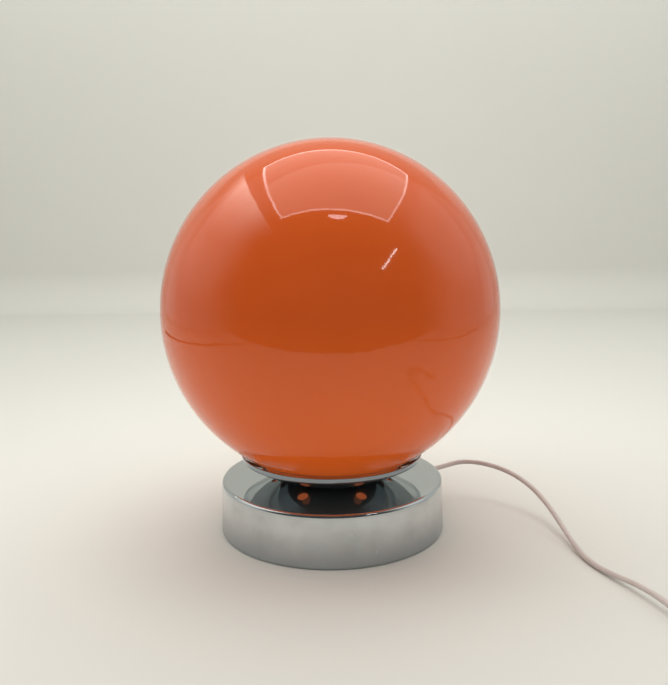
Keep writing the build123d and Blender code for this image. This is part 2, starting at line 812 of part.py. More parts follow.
with BuildPart() as switch_screws:
    head_under = switch_floor_gap + switch_screw_recess
    with BuildSketch(switch_plane(head_under)):
        with Locations(*screw_places):
            Circle(switch_screw_head_radius)
    extrude(amount=switch_screw_head_height)
    with BuildSketch(switch_plane(head_under + switch_screw_head_height)):
        with Locations(*screw_places):
            Circle(switch_screw_radius)
    extrude(amount=switch_screw_length - switch_screw_head_height)
    with BuildSketch(switch_plane(head_under)):
        with Locations(*screw_places):
            Rectangle(2 * switch_screw_head_radius, slot_width)
    extrude(amount=slot_width, mode=Mode.SUBTRACT)

# ---- spare cord: tail, coil and end ----

switch_exit = switch_start + switch_way * switch_length
coil_floor = cord_radius + coil_floor_gap
tail_route = [
    switch_exit,
    switch_exit + switch_way * tail_straight,
    Vector(switch_exit.X, switch_exit.Y, coil_floor) + switch_way * (tail_straight + tail_slope_length),
    Vector(switch_exit.X, switch_exit.Y, coil_floor) + switch_way * (2 * tail_straight + tail_slope_length),
]
print("cord_tail bend radii", [round(radius, 1) for radius in bend_radii(tail_route)])

with BuildPart() as cord_tail:
    with BuildLine() as tail_line:
        FilletPolyline(*tail_route, radius=bend_radii(tail_route))
    with BuildSketch(Plane(origin=tail_line.wire() @ 0, z_dir=tail_line.wire() % 0)):
        Circle(cord_radius)
    sweep(path=tail_line.wire())
report_cord("cord_tail", cord_tail.part, tail_line.wire())

coil_start = tail_route[-1] + switch_way * cord_diameter
coil_outer_radius = coil_inner_radius + coil_half_turns_in * coil_pitch / 2
coil_middle = coil_start + switch_left * coil_outer_radius
coil_half_turns = coil_half_turns_in + 1 + coil_half_turns_out
coil_first_turn = atan2(-switch_left.Y, -switch_left.X)


def coil_radius(half_turns):
    """Radius of the coil: in at a steady rate, a little further while it climbs, and out again."""
    if half_turns <= coil_half_turns_in:
        return coil_outer_radius - half_turns * coil_pitch / 2
    if half_turns == coil_half_turns_in + 1:
        return coil_inner_radius - coil_climb_step
    return coil_inner_radius + (half_turns - coil_half_turns_in - 1) * coil_pitch / 2


def coil_layer(half_turns):
    """Height of the coil's middle line over its lower layer."""
    return coil_pitch if half_turns > coil_half_turns_in else 0.0


def coil_point(half_turns):
    """Point of the coil's middle line after some half turns."""
    turn = coil_first_turn + half_turns * pi
    radius = coil_radius(half_turns)
    height = coil_floor + coil_layer(half_turns)
    return Vector(coil_middle.X + radius * cos(turn), coil_middle.Y + radius * sin(turn), height)


def coil_way(half_turns):
    """Direction of the coil's middle line after some half turns; its two ends run square."""
    turn = coil_first_turn + half_turns * pi
    drift = 0.0
    if 0 < half_turns <= coil_half_turns_in:
        drift = -coil_pitch / (2 * pi)
    elif coil_half_turns_in + 1 < half_turns < coil_half_turns:
        drift = coil_pitch / (2 * pi)
    radius = coil_radius(half_turns)
    return Vector(
        drift * cos(turn) - radius * sin(turn), drift * sin(turn) + radius * cos(turn), 0
    ).normalized()


def biarc_middle(start, start_way, end, end_way):
    """Point where two arcs meet smoothly between two points with given directions."""
    across = end - start
    ways = start_way + end_way
    slack = 2 * (1 - start_way.dot(end_way))
    reach = (sqrt(across.dot(ways) ** 2 + slack * across.dot(across)) - across.dot(ways)) / slack
    return (start + end + (start_way - end_way) * reach) * 0.5


coil_end = coil_point(coil_half_turns) + coil_way(coil_half_turns) * cord_diameter

with BuildPart() as cord_coil:
    with BuildLine() as coil_line:
        Line(tail_route[-1], coil_start)
        for half in range(coil_half_turns):
            middle = biarc_middle(coil_point(half), coil_way(half), coil_point(half + 1), coil_way(half + 1))
            first_arc = TangentArc(coil_point(half), middle, tangent=coil_way(half))
            TangentArc(middle, coil_point(half + 1), tangent=first_arc % 1)
        Line(coil_point(coil_half_turns), coil_end)
    with BuildSketch(Plane(origin=tail_route[-1], z_dir=switch_way)):
        Circle(cord_radius)
    sweep(path=coil_line.wire())
report_cord("cord_coil", cord_coil.part, coil_line.wire())


def least_gap(line, samples):
    """Least gap between stretches of a tube that lie more than a quarter turn apart."""
    points = [line @ (index / samples) for index in range(samples + 1)]
    apart = int(samples * coil_inner_radius * pi / 2 / line.length)
    gap = line.length
    for index, point in enumerate(points):
        for other in points[index + apart :]:
            gap = min(gap, (point - other).length - cord_diameter)
    return gap


print(f"cord_coil least gap to itself {least_gap(coil_line.wire(), 520):.2f}")

end_way = coil_way(coil_half_turns)
plug_cord_height = plug_floor_gap + plug_thickness / 2
end_route = [coil_end]
for bend in range(3):
    next_point = end_route[-1] + end_way.rotate(Axis.Z, bend * end_turn) * end_run
    height = coil_end.Z if bend == 0 else plug_cord_height
    end_route.append(Vector(next_point.X, next_point.Y, height))
print("cord_end bend radii", [round(radius, 1) for radius in bend_radii(end_route)])

with BuildPart() as cord_end:
    with BuildLine() as end_line:
        FilletPolyline(*end_route, radius=bend_radii(end_route))
    with BuildSketch(Plane(origin=end_line.wire() @ 0, z_dir=end_line.wire() % 0)):
        Circle(cord_radius)
    sweep(path=end_line.wire())
report_cord("cord_end", cord_end.part, end_line.wire())

# ---- plug ----

plug_way = (end_route[-1] - end_route[-2]).normalized()
plug_start = end_route[-1]
plug_left = Vector(-plug_way.Y, plug_way.X, 0)
plug_plane = Plane(origin=plug_start, x_dir=plug_left, z_dir=plug_way)
pin_places = [(-pin_spacing / 2, 0), (pin_spacing / 2, 0)]

with BuildPart() as plug_body:
    with BuildSketch(plug_plane):
        RectangleRounded(plug_neck_width, plug_neck_thickness, plug_edge_radius)
    with BuildSketch(plug_plane.offset(plug_length - plug_face_depth)):
        RectangleRounded(plug_width, plug_thickness, plug_edge_radius)
    loft()
    with BuildSketch(plug_plane.offset(plug_length - plug_face_depth)):
        RectangleRounded(plug_width, plug_thickness, plug_edge_radius)
    extrude(amount=plug_face_depth)
    with BuildSketch(plug_plane.offset(plug_length)):
        with Locations(*pin_places):
            Circle(pin_root_radius + pin_clearance)
    extrude(amount=-pin_embed, mode=Mode.SUBTRACT)

with BuildPart() as plug_pins:
    with BuildSketch(plug_plane.offset(plug_length)):
        with Locations(*pin_places):
            Circle(pin_radius)
    extrude(amount=pin_length)
    beyond_tips = plug_plane.offset(10 * plug_length).origin
    fillet(edges().filter_by(GeomType.CIRCLE).sort_by_distance(beyond_tips)[:2], pin_radius / 2)
    with BuildSketch(plug_plane.offset(plug_length)):
        with Locations(*pin_places):
            Circle(pin_root_radius)
    extrude(amount=-pin_embed)

# ---- write every piece ----

pieces = {
    "glass_globe": glass_globe,
    "globe_seat_ring": globe_seat_ring,
    "gallery_dish": gallery_dish,
    "base_drum": base_drum,
    "plate_brackets": plate_brackets,
    "bottom_plate": bottom_plate,
    "plate_screws": plate_screws,
    "rubber_feet": rubber_feet,
    "ballast_weight": ballast_weight,
    "ballast_bolt": ballast_bolt,
    "ballast_nut": ballast_nut,
    "threaded_tube": threaded_tube,
    "lower_washer": lower_washer,
    "lower_nut": lower_nut,
    "upper_washer": upper_washer,
    "upper_nut": upper_nut,
    "holder_cap": holder_cap,
    "holder_core": holder_core,
    "holder_shell": holder_shell,
    "holder_contacts": holder_contacts,
    "bulb_contact": bulb_contact,
    "bulb_cap": bulb_cap,
    "bulb_envelope": bulb_envelope,
    "cord_bushing": cord_bushing,
    "inner_cord": inner_cord,
    "core_wires": core_wires,
    "cord_lamp": cord_lamp,
    "switch_bottom": switch_bottom,
    "switch_top": switch_top_shell,
    "switch_rocker": switch_rocker,
    "switch_screws": switch_screws,
    "cord_tail": cord_tail,
    "cord_coil": cord_coil,
    "cord_end": cord_end,
    "plug_body": plug_body,
    "plug_pins": plug_pins,
}
for piece_name, piece in pieces.items():
    piece.part.label = piece_name
    export_step(piece.part, f"parts/{piece_name}.step")
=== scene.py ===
import json
from math import cos, pi, radians, sin

import bmesh
import bpy
from mathutils import Matrix, Vector


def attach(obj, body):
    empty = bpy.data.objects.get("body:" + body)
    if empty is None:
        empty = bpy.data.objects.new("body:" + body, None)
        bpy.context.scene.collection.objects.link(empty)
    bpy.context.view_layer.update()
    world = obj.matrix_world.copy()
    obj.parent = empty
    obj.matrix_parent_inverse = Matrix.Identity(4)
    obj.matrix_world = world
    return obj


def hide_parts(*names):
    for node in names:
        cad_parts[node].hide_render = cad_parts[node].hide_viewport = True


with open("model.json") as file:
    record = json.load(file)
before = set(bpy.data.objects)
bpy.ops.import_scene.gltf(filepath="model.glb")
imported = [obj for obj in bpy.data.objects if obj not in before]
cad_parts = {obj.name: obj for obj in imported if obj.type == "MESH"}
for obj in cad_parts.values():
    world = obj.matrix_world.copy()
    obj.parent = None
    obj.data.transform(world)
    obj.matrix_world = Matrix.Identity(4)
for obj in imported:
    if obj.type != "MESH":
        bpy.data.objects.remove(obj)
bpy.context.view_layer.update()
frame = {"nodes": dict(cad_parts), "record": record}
scene = bpy.context.scene


def tint(red, green, blue):  # a colour as a paint program gives it, 0 to 255, made linear
    shares = [value / 255 for value in (red, green, blue)]
    return tuple(s / 12.92 if s < 0.04045 else ((s + 0.055) / 1.055) ** 2.4 for s in shares) + (1.0,)


# the camera has the photograph's viewpoint: above the ball's middle, and looking down a little

cameraPlace = {
    "spot": (0.00304, -0.7556, 0.30925),
    "downTilt": 10.31,
    "roll": -0.56,
    "lens": 45.81,
    "sensor": 36.0,
    "nearest": 0.02,
}


def makeCamera(place):
    data = bpy.data.cameras.new("camera")
    data.sensor_fit = "HORIZONTAL"
    data.sensor_width = place["sensor"]
    data.lens = place["lens"]
    data.clip_start = place["nearest"]
    tilt, roll = radians(place["downTilt"]), radians(place["roll"])
    sight = Vector((0, cos(tilt), -sin(tilt)))
    levelRight, levelUp = Vector((1, 0, 0)), Vector((0, sin(tilt), cos(tilt)))
    right = levelRight * cos(roll) + levelUp * sin(roll)
    up = levelUp * cos(roll) - levelRight * sin(roll)
    camera = bpy.data.objects.new("camera", data)
    camera.matrix_world = Matrix(
        [(right[i], up[i], -sight[i], place["spot"][i]) for i in range(3)] + [(0, 0, 0, 1)]
    )
    scene.collection.objects.link(camera)
    scene.camera = camera


makeCamera(cameraPlace)
print("camera stands")


# the cord: two free runs, one on each side of the switch, and the spare length in a coil

cordLook = {
    "thickness": 0.0046,
    "order": 3,  # of the smooth curve
    "steps": 8,  # between two of its points
    "roundness": 5,  # the more, the more sides the cord has
    "lampRun": [
        (0.10178, 0.05877, 0.0315), (0.11477, 0.06627, 0.0325), (0.133, 0.0706, 0.0358),
        (0.1565, 0.0585, 0.0362), (0.176, 0.0365, 0.034), (0.192, 0.0155, 0.026),
        (0.201, -0.013, 0.017), (0.2055, -0.043, 0.0094), (0.209, -0.072, 0.0038),
        (0.2135, -0.098, 0.0024), (0.223, -0.1205, 0.0033), (0.234, -0.145, 0.0068),
        (0.2425, -0.1705, 0.0084), (0.2475, -0.19, 0.0074), (0.255, -0.206, 0.0074),
    ],
    "tailRun": [
        (0.27877, -0.25671, 0.0074), (0.28216, -0.26395, 0.0074), (0.28895, -0.27844, 0.0024),
        (0.29235, -0.28568, 0.0024),
    ],
    "plugRun": [
        (0.358, -0.25491, 0.0075), (0.35163, -0.24133, 0.0075), (0.34697, -0.22707, 0.00695),
        (0.34407, -0.21235, 0.00695),
    ],
}
coilLook = {
    "middle": (0.32713, -0.27446),
    "firstTurn": -2.7032561,  # radians, where the cord comes in
    "outer": 0.03625,
    "inner": 0.0184,
    "climb": 0.0164,  # radius where it steps up to the second layer
    "halfTurnsIn": 7,
    "halfTurns": 15,
    "pointsInHalf": 8,
    "layers": (0.0024, 0.0075),
}


def coilRadius(look, count):  # after a whole number of half turns: inwards, up a layer and outwards again
    turnsIn = look["halfTurnsIn"]
    step = (look["outer"] - look["inner"]) / turnsIn
    if count <= turnsIn:
        return look["outer"] - step * count
    if count == turnsIn + 1:
        return look["climb"]
    return look["inner"] + step * (count - turnsIn - 1)


def coilSpot(look, halves):  # a control point of the coil after some half turns
    whole = min(int(halves), look["halfTurns"] - 1)
    share = halves - whole
    radius = coilRadius(look, whole) * (1 - share) + coilRadius(look, whole + 1) * share
    radius = radius / cos(pi / 2 / look["pointsInHalf"])  # the curve runs inside its points
    rise = min(max(halves - look["halfTurnsIn"], 0.0), 1.0)
    rise = rise * rise * (3 - 2 * rise)
    height = look["layers"][0] * (1 - rise) + look["layers"][1] * rise
    turn = look["firstTurn"] + halves * pi
    return look["middle"][0] + radius * cos(turn), look["middle"][1] + radius * sin(turn), height


def cordCurve(name, points, look):
    data = bpy.data.curves.new(name, "CURVE")
    data.dimensions = "3D"
    spline = data.splines.new("NURBS")
    spline.points.add(len(points) - 1)
    for point, spot in zip(spline.points, points):
        point.co = (*spot, 1.0)
        point.radius = look["thickness"] / 2  # with a bevel of 1 the box fits the cord
    spline.order_u = look["order"]
    spline.use_endpoint_u = True
    spline.resolution_u = data.resolution_u = look["steps"]
    data.bevel_depth = 1.0
    data.bevel_resolution = look["roundness"]
    data.use_fill_caps = True
    piece = bpy.data.objects.new(name, data)
    scene.collection.objects.link(piece)
    return piece


coilPoints = [
    coilSpot(coilLook, index / coilLook["pointsInHalf"])
    for index in range(coilLook["halfTurns"] * coilLook["pointsInHalf"] + 1)
]
lampCord = cordCurve("lampCord", cordLook["lampRun"], cordLook)
tailCord = cordCurve("tailCord", cordLook["tailRun"] + coilPoints + cordLook["plugRun"], cordLook)
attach(lampCord, "lamp")
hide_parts("cord_lamp")
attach(tailCord, "lamp")
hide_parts("cord_tail", "cord_coil", "cord_end")
print("cord laid")


# shader helpers

class Wire:  # a value in a material that Python's own signs work on
    def __init__(self, tree, socket):
        self.tree, self.socket = tree, socket

    def reckon(self, operation, first, second):
        node = self.tree.nodes.new("ShaderNodeMath")
        node.operation = operation
        for place, value in zip(node.inputs, (first, second)):
            if isinstance(value, Wire):
                self.tree.links.new(value.socket, place)
            else:
                place.default_value = value
        return Wire(self.tree, node.outputs[0])

    def __add__(self, other):
        return self.reckon("ADD", self, other)

    def __radd__(self, other):
        return self.reckon("ADD", other, self)

    def __sub__(self, other):
        return self.reckon("SUBTRACT", self, other)

    def __rsub__(self, other):
        return self.reckon("SUBTRACT", other, self)

    def __mul__(self, other):
        return self.reckon("MULTIPLY", self, other)

    def __rmul__(self, other):
        return self.reckon("MULTIPLY", other, self)


class Finish:  # one material, with its nodes
    def __init__(self, name, constants=None):
        self.material = bpy.data.materials.new(name)
        self.material.use_nodes = True
        self.tree = self.material.node_tree
        self.tree.nodes.clear()
        self.shader = self.tree.nodes.new("ShaderNodeBsdfPrincipled")
        output = self.tree.nodes.new("ShaderNodeOutputMaterial")
        self.tree.links.new(self.shader.outputs[0], output.inputs["Surface"])
        for socket, value in (constants or {}).items():
            self.shader.inputs[socket].default_value = value

    def make(self, kind, settings=None, sockets=None, output=0):
        node = self.tree.nodes.new(kind)
        for name, value in (settings or {}).items():
            setattr(node, name, value)
        for name, value in (sockets or {}).items():
            self.join(node.inputs[name], value)
        return Wire(self.tree, node.outputs[output])

    def join(self, socket, value):
        if isinstance(value, Wire):
            self.tree.links.new(value.socket, socket)
        else:
            socket.default_value = value

    def feed(self, name, value):
        self.join(self.shader.inputs[name], value)

    def spot(self):  # where a point is on the piece
        return self.make("ShaderNodeTexCoord", output="Object")

    def axis(self, name):
        return self.make("ShaderNodeSeparateXYZ", {}, {"Vector": self.spot()}, output=name)

    def noise(self, scale, detail=3.0, rough=0.5, stretch=(1, 1, 1)):
        place = self.make("ShaderNodeMapping", {}, {"Vector": self.spot(), "Scale": stretch})
        sockets = {"Vector": place, "Scale": scale, "Detail": detail, "Roughness": rough}
        return self.make("ShaderNodeTexNoise", {}, sockets)

    def span(self, value, low, high, start=0.0, end=1.0):  # carries one range over to another
        sockets = {"Value": value, "From Min": low, "From Max": high, "To Min": start, "To Max": end}
        return self.make("ShaderNodeMapRange", {"clamp": True}, sockets)

    def patches(self, scale, detail, rough, low, high, stretch=(1, 1, 1)):  # noise with more contrast
        return self.span(self.noise(scale, detail, rough, stretch), low, high)

    def blend(self, share, first, second):
        return self.make("ShaderNodeMix", {"data_type": "RGBA"}, {0: share, 6: first, 7: second}, output=2)

    def relief(self, height, distance, strength=1.0):
        sockets = {"Height": height, "Distance": distance, "Strength": strength}
        self.feed("Normal", self.make("ShaderNodeBump", {}, sockets, output="Normal"))


# In the dictionaries below, patches are given by scale, detail, roughness, and the noise where they
# start and are full. Grain and marks are given by scale, detail and roughness.

# the ball: orange glass cased over opal, blown, so it is never quite even

ballLook = {
    "deep": (0.53, 0.078, 0.012, 1.0),
    "pale": (0.61, 0.098, 0.017, 1.0),
    "low": (0.84, 0.137, 0.016, 1.0),  # painted light: a paler orange towards the neck, standing in for the glow that makes the lower ball brighter
    "paintedLightFrom": (0.215, 0.095),
    "opal": (0.60, 0.30, 0.15, 1.0),  # the inner face
    "cloud": (5.0, 4.0, 0.55, 0.3, 0.7),
    "smear": (14.0, 6.0, 0.6, 0.35, 0.75, (1, 1, 2.2)),
    "wave": (9.0, 1.0, 0.4, (1, 1, 0.7)),
    "waveDepth": 0.0007,
    "gloss": (0.035, 0.075),
    "bending": 1.46,
    "middle": (0.0, 0.0, 0.20116),
    "insideFrom": (0.1490, 0.1482),  # distances from the middle between which the inner face starts
    "glow": (0.50, 0.165, 0.055, 1.0),  # daylight that comes through the opal
    "glowLevel": 0.36,
    # painted glow: the outer face near the neck sends out light, standing in for the glow through the glass
    "neckGlow": (0.36, 0.085, 0.022, 1.0),
    "neckFrom": (0.095, 0.062),
    "unlit": (0.0, 0.0, 0.0, 1.0),
}


def ballGlass(look):
    finish = Finish("orangeGlass", {"IOR": look["bending"], "Emission Strength": look["glowLevel"]})
    middle = {0: finish.spot(), 1: look["middle"]}
    far = finish.make("ShaderNodeVectorMath", {"operation": "DISTANCE"}, middle, output="Value")
    inner = finish.span(far, *look["insideFrom"])
    cloud = finish.patches(*look["cloud"])
    # painted light: the ball is blended towards a paler orange from its middle down to the neck
    low = finish.span(finish.axis("Z"), *look["paintedLightFrom"])
    orange = finish.blend(low, finish.blend(cloud, look["deep"], look["pale"]), look["low"])
    finish.feed("Base Color", finish.blend(inner, orange, look["opal"]))
    smear = finish.patches(*look["smear"])
    finish.feed("Roughness", look["gloss"][0] + smear * (look["gloss"][1] - look["gloss"][0]))
    finish.relief(finish.noise(*look["wave"]), look["waveDepth"])
    # painted glow: light sent out by the outer face near the neck, and by the whole inner face
    neck = finish.span(finish.axis("Z"), *look["neckFrom"])
    outside = finish.blend(neck, look["unlit"], look["neckGlow"])
    finish.feed("Emission Color", finish.blend(inner, outside, look["glow"]))
    return finish.material


# chromed steel: the drum's top and the dish are mirrors, the drum's side is drawn and softer

chromeLook = {  # what the drum and the dish share
    "colour": tint(186, 192, 194),
    "dull": tint(172, 177, 178),
    "dullShare": 0.3,
    "metal": 0.94,  # the rest is a film of dust
    "mirror": 0.03,
}
drumLook = {
    "sideColour": tint(218, 223, 224),
    "sideDull": tint(194, 198, 199),
    # painted shade: the side darkens towards the floor, where it mirrors the floor's shadow
    "sideFootShade": tint(166, 172, 176),
    "footShadeFrom": (0.034, 0.0),
    "sideFrom": (0.0452, 0.0412),  # heights between which the top's finish turns into the side's
    "sideGloss": 0.25,
    "smear": (26.0, 5.0, 0.62, 0.35, 0.8),
    "smearGloss": 0.02,
    "mottle": (38.0, 4.0, 0.55, 0.3, 0.7),
    "marks": (1.0, 3.0, 0.6, (160, 160, 2.2)),
    "marksGloss": 0.08,
    "smearDepth": 0.1,  # beside the marks
    "depth": 0.00001,
    "reliefShare": 0.5,
}
dishLook = {
    "gloss": 0.02,  # duller than the drum's top by this much
    "smear": (30.0, 5.0, 0.62, 0.35, 0.8),
    "smearGloss": 0.03,
    "lip": tint(150, 160, 167),  # the dish's rolled edge
    "lipFrom": (0.0640, 0.0652),
    "rings": 260.0,
    "ringsWander": 0.4,
    "depth": 0.000004,
    "reliefShare": 0.4,
}


def drumChrome(chrome, look):
    finish = Finish("drumChrome", {"Metallic": chrome["metal"]})
    side = finish.span(finish.axis("Z"), *look["sideFrom"])
    # painted shade: the side's colour gets darker towards the foot
    footShade = finish.span(finish.axis("Z"), *look["footShadeFrom"])
    marks = finish.noise(*look["marks"])
    smear = finish.patches(*look["smear"])
    top = finish.blend(smear * chrome["dullShare"], chrome["colour"], chrome["dull"])
    drawn = finish.blend(finish.patches(*look["mottle"]), look["sideColour"], look["sideDull"])
    finish.feed("Base Color", finish.blend(side, top, finish.blend(footShade, drawn, look["sideFootShade"])))
    duller = look["sideGloss"] - chrome["mirror"] + marks * look["marksGloss"] - look["marksGloss"] / 2
    finish.feed("Roughness", chrome["mirror"] + smear * look["smearGloss"] + side * duller)
    finish.relief(marks * side + smear * look["smearDepth"], look["depth"], look["reliefShare"])
    return finish.material


def dishChrome(chrome, look):
    finish = Finish("dishChrome", {"Metallic": chrome["metal"]})
    smear = finish.patches(*look["smear"])
    sheet = finish.blend(smear * chrome["dullShare"], chrome["colour"], chrome["dull"])
    lip = finish.span(finish.axis("Z"), *look["lipFrom"])
    finish.feed("Base Color", finish.blend(lip, sheet, look["lip"]))
    finish.feed("Roughness", chrome["mirror"] + look["gloss"] + smear * look["smearGloss"])
    rings = finish.make(
        "ShaderNodeTexWave", {"wave_type": "RINGS", "rings_direction": "Z", "wave_profile": "SIN"},
        {"Vector": finish.spot(), "Scale": look["rings"], "Distortion": look["ringsWander"]},
    )
    finish.relief(rings, look["depth"], look["reliefShare"])
    return finish.material


# cord and switch plastic: soft vinyl with a faint grain, a little dusty

vinylLook = {
    "bending": 1.46,
    "dust": (60.0, 5.0, 0.6, 0.4, 0.75),
    "dustColour": tint(178, 167, 162),
    "dustShare": 0.5,
    "dustGloss": 0.12,
    "grain": (2.0, 0.5),  # detail and roughness
}


def vinyl(name, colour, gloss, grain, depth, look=vinylLook):
    finish = Finish(name, {"IOR": look["bending"]})
    dust = finish.patches(*look["dust"])
    finish.feed("Base Color", finish.blend(dust * look["dustShare"], colour, look["dustColour"]))
    finish.feed("Roughness", gloss + dust * look["dustGloss"])
    finish.relief(finish.noise(grain, *look["grain"]), depth)
    return finish.material


# plain metals, ceramics and rubbers, each with its own colour, worn colour, gloss and grain

stuffLook = {
    "wear": (35.0, 6.0, 0.6, 0.4, 0.7),
    "wearGloss": 0.1,
    "grain": (4.0, 0.6),  # detail and roughness
    "grainGloss": 0.08,
}


def stuff(name, colour, worn, gloss, grain, depth, metal=0.0, stretch=(1, 1, 1), look=stuffLook):
    finish = Finish(name, {"Metallic": metal})
    wear = finish.patches(*look["wear"])
    lines = finish.noise(grain, *look["grain"], stretch)
    finish.feed("Base Color", finish.blend(wear, colour, worn))
    finish.feed("Roughness", gloss + wear * look["wearGloss"] + lines * look["grainGloss"])
    finish.relief(lines, depth)
    return finish.material


zinc, zincWorn = tint(176, 178, 180), tint(146, 148, 148)
capMetal, capWorn = tint(206, 206, 204), tint(176, 176, 172)
finishes = {
    "orange_glass": ballGlass(ballLook),
    "clear_silicone": stuff("softRing", tint(214, 208, 198), tint(190, 182, 170), 0.35, 300, 0.00002),
    "chromed_sheet": drumChrome(chromeLook, drumLook),
    "zinc_steel": stuff("zincSteel", zinc, zincWorn, 0.28, 220, 0.00001, 1.0, (1, 1, 6)),
    "black_plate": stuff("blackPaint", tint(34, 34, 35), tint(48, 47, 46), 0.38, 700, 0.00003),
    "black_rubber": stuff("footRubber", tint(26, 26, 27), tint(52, 50, 48), 0.62, 500, 0.00004),
    "cast_iron": stuff("castIron", tint(58, 56, 54), tint(82, 74, 68), 0.55, 260, 0.0002, 0.6),
    "holder_plastic": stuff("holderMoulding", tint(228, 222, 208), tint(214, 205, 188), 0.34, 400, 0.00002),
    "holder_ceramic": stuff("holderCeramic", tint(238, 236, 230), tint(224, 220, 210), 0.22, 120, 0.00002),
    "brass": stuff("contactBrass", tint(214, 176, 96), tint(168, 128, 66), 0.22, 260, 0.00001, 1.0),
    "black_glass": stuff("contactGlass", tint(22, 22, 26), tint(34, 34, 38), 0.12, 90, 0.00002),
    "bulb_cap_metal": stuff("bulbCapMetal", capMetal, capWorn, 0.24, 300, 0.00001, 1.0),
    "bulb_glass": stuff("bulbOpal", tint(244, 242, 236), tint(234, 230, 222), 0.18, 60, 0.00003),
    "cord_plastic": vinyl("cordVinyl", tint(198, 187, 182), 0.34, 420, 0.00002),
    "wire_sheath": stuff("wireSheath", tint(72, 96, 158), tint(96, 74, 60), 0.4, 300, 0.00002),
    "switch_plastic": vinyl("switchVinyl", tint(226, 212, 202), 0.3, 900, 0.00001),
    "rocker_plastic": vinyl("rockerVinyl", tint(236, 228, 220), 0.24, 900, 0.00001),
    "pin_metal": stuff("pinPlate", tint(214, 213, 206), tint(188, 184, 172), 0.16, 240, 0.00001, 1.0),
}
dishFinish = dishChrome(chromeLook, dishLook)
nodeSlots = {row["node"]: row["material_slot"] for row in frame["record"]["subparts"]}
for name, piece in frame["nodes"].items():
    finish = dishFinish if name == "gallery_dish" else finishes[nodeSlots[name]]
    for slot in piece.material_slots:
        slot.material = finish
for cord in (lampCord, tailCord):
    cord.data.materials.append(finishes["cord_plastic"])
print("finishes made")


# mesh helpers for the studio

def newMesh(name, bm, smooth=True):
    mesh = bpy.data.meshes.new(name)
    for face in bm.faces:
        face.smooth = smooth
    bm.to_mesh(mesh)
    bm.free()
    piece = bpy.data.objects.new(name, mesh)
    scene.collection.objects.link(piece)
    return piece


def drawOut(bm, edges, way):  # pulls edges out into faces, and gives the edges at the far side
    drawn = bmesh.ops.extrude_edge_only(bm, edges=edges)["geom"]
    bmesh.ops.translate(bm, verts=[v for v in drawn if isinstance(v, bmesh.types.BMVert)], vec=way)
    return [e for e in drawn if isinstance(e, bmesh.types.BMEdge)]


def cutAway(bm, spot, way):  # takes off what lies past a spot in one direction
    everything = bm.verts[:] + bm.edges[:] + bm.faces[:]
    bmesh.ops.bisect_plane(bm, geom=everything, plane_co=spot, plane_no=way, clear_outer=True)


# the pale table and its sweep, and the lamps over it

studio = {
    "tableHalf": 1.5,
    "tableFront": -0.70,
    "tableBack": 1.36,
    "sweepRadius": 0.10,
    "sweepSteps": 24,
    "wallTop": 2.6,
    "paper": tint(214, 213, 207),
    "paperShade": tint(209, 208, 202),
    "cloud": (1.6, 3.0, 0.5, 0.3, 0.7),
    "cloudShare": 0.5,
    "grain": 900.0,
    "grainShare": 0.1,
    "gloss": 0.85,
    "shine": 0.2,
    "around": (0.66, 0.665, 0.63, 1.0),
    "lamps": [  # name, middle, aims at, width, length, brightness, colour
        ("overheadLamp", (0.05, 0.16, 0.90), (0.05, 0.16, 0.0), 0.80, 0.72, 2.5, (1.0, 0.985, 0.965)),
        ("leftLamp", (-0.75, -0.05, 0.85), (0.0, 0.0, 0.20), 0.45, 0.70, 2.35, (1.0, 0.985, 0.965)),
        ("rightLamp", (0.95, 0.05, 0.72), (0.0, 0.0, 0.22), 0.75, 0.42, 1.1, (1.0, 0.985, 0.965)),
        ("frontLamp", (0.0, -1.9, 0.95), (0.0, 0.0, 0.20), 1.6, 0.9, 0.66, (1.0, 0.985, 0.965)),
        ("wallLamp", (0.0, 0.55, 1.75), (0.0, 1.7, 1.1), 2.4, 0.4, 0.6, (1.0, 0.99, 0.975)),
        ("farLamp", (0.0, 1.12, 1.20), (0.0, 1.12, 0.0), 2.6, 0.3, 2.1, (1.0, 0.99, 0.975)),
    ],
}


def paperSweep(look):
    half, front, back, bend = look["tableHalf"], look["tableFront"], look["tableBack"], look["sweepRadius"]
    bm = bmesh.new()
    edge = bm.edges.new([bm.verts.new((x, front, 0)) for x in (-half, half)])
    far = drawOut(bm, [edge], (0, back - front, 0))
    bent = bmesh.ops.spin(
        bm, geom=far, cent=(0, back, bend), axis=(1, 0, 0), angle=pi / 2, steps=look["sweepSteps"]
    )
    upright = [e for e in bent["geom_last"] if isinstance(e, bmesh.types.BMEdge)]
    drawOut(bm, upright, (0, 0, look["wallTop"] - bend))
    bmesh.ops.recalc_face_normals(bm, faces=bm.faces)
    sweep = newMesh("paperSweep", bm)
    finish = Finish("paper", {"Roughness": look["gloss"], "Specular IOR Level": look["shine"]})
    cloud = finish.patches(*look["cloud"]) * look["cloudShare"]
    tone = cloud + finish.noise(look["grain"]) * look["grainShare"]
    finish.feed("Base Color", finish.blend(tone, look["paper"], look["paperShade"]))
    sweep.data.materials.append(finish.material)


def studioLamp(name, middle, target, width, length, brightness, colour):
    data = bpy.data.lights.new(name, "AREA")
    data.shape = "RECTANGLE"
    data.size, data.size_y = width, length
    data.energy = brightness * pi * width * length
    data.color = colour
    lamp = bpy.data.objects.new(name, data)
    sight = (Vector(target) - Vector(middle)).normalized()
    lamp.rotation_euler = sight.to_track_quat("-Z", "Y").to_euler()
    lamp.location = middle
    lamp.visible_camera = lamp.visible_glossy = False
    scene.collection.objects.link(lamp)


# what the glass and chrome mirror; a flicker is a noise's scale and how much light it adds

def onlyMirrored(piece, *glows):  # seen in glass and chrome alone, so it lights and hides nothing
    for glow in glows:
        piece.data.materials.append(glow.material)
    piece.visible_camera = piece.visible_diffuse = piece.visible_shadow = piece.visible_transmission = False


